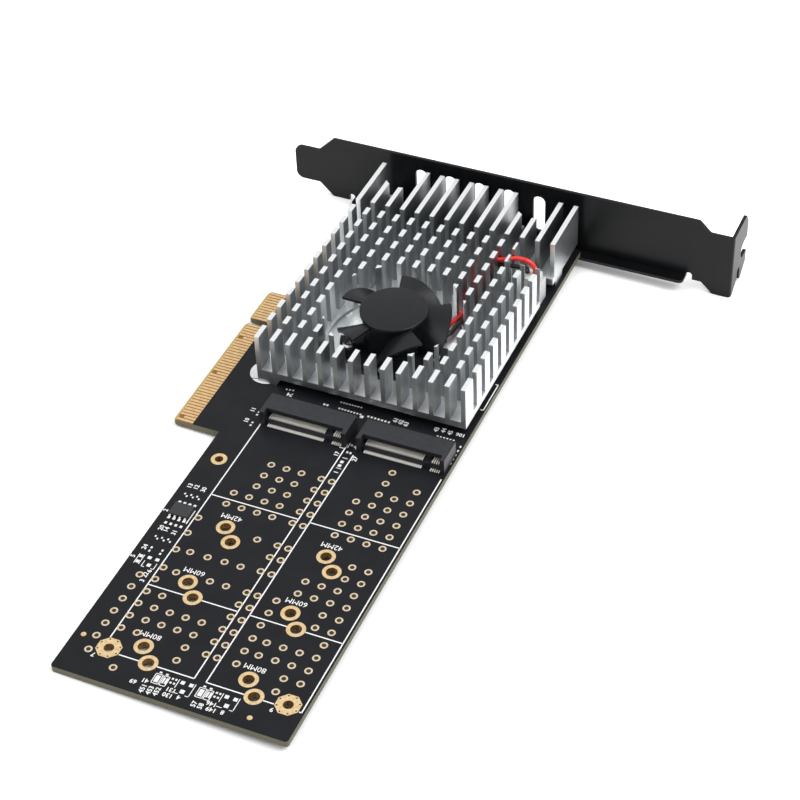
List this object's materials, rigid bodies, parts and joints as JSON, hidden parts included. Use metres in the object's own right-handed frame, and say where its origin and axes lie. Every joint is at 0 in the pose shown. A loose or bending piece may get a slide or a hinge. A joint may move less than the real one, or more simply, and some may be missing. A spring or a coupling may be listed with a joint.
{
  "type": "dual drive adapter card",
  "caption": "Black expansion card with open drive sockets, ringed standoff holes, a finned heatsink around a small fan, and a full-height steel bracket.",
  "frame": {"origin": "centre of the key notch, on the outer edge of the contact tongue and on the board's component face", "axes": "+X from the contact edge to the card's upper edge, +Y along the card to the bracket, +Z out of the component side"},
  "size_m": [0.12, 0.1873, 0.0214],
  "materials": {
    "solder_mask": "matt black solder mask over glass-fibre laminate",
    "gold_plating": "hard gold over nickel on copper",
    "pad_plating": "flash gold on copper",
    "bracket_steel": "steel sheet, black plated",
    "screw_steel": "zinc plated steel",
    "heatsink_aluminium": "extruded and milled, clear anodised",
    "thermal_silicone": "soft filled silicone",
    "chip_substrate": "laminate",
    "chip_cap": "moulded epoxy",
    "fan_plastic": "moulded, satin black",
    "fan_laminate": "laminate",
    "core_steel": "stacked electrical steel",
    "enamelled_wire": "enamelled copper winding",
    "sintered_bronze": "oil-filled sintered bronze",
    "ferrite": "bonded ferrite",
    "shaft_steel": "ground steel",
    "clip_plastic": "moulded nylon",
    "red_insulation": "soft insulation on stranded wire",
    "black_insulation": "soft insulation on stranded wire",
    "connector_nylon": "moulded natural nylon",
    "tin_plating": "bright tin on bronze",
    "socket_plastic": "moulded heat-resistant plastic",
    "contact_gold": "gold on spring bronze"
  },
  "bodies": {
    "card": {"pcb": "solder_mask", "edge_contacts_component_side": "gold_plating", "edge_contacts_solder_side": "gold_plating", "size_hole_rings": "pad_plating", "earth_pads": "pad_plating", "bracket": "bracket_steel", "bracket_screws": "screw_steel", "heatsink": "heatsink_aluminium", "heatsink_screws": "screw_steel", "thermal_pad": "thermal_silicone", "switch_chip_substrate": "chip_substrate", "switch_chip_cap": "chip_cap", "fan_base": "fan_plastic", "fan_circuit_board": "fan_laminate", "fan_stator_core": "core_steel", "fan_coils": "enamelled_wire", "fan_bearing": "sintered_bronze", "fan_screws": "screw_steel", "fan_lead_red": "red_insulation", "fan_lead_black": "black_insulation", "fan_plug": "connector_nylon", "fan_header": "connector_nylon", "fan_header_pins": "tin_plating", "socket_left_housing": "socket_plastic", "socket_left_lower_contacts": "contact_gold", "socket_left_upper_contacts": "contact_gold", "socket_right_housing": "socket_plastic", "socket_right_lower_contacts": "contact_gold", "socket_right_upper_contacts": "contact_gold", "memory_chip_body": "chip_cap", "memory_chip_leads": "tin_plating"},
    "rotor": {"fan_rotor": "fan_plastic", "fan_magnet_ring": "ferrite", "fan_shaft": "shaft_steel", "fan_shaft_clip": "clip_plastic"}
  },
  "joints": [
    {"name": "fan_spin", "type": "hinge", "parent": "card", "child": "rotor", "pos_m": [0.03935, 0.0016, 0.009], "axis": [0, 0, 1], "continuous": true}
  ]
}
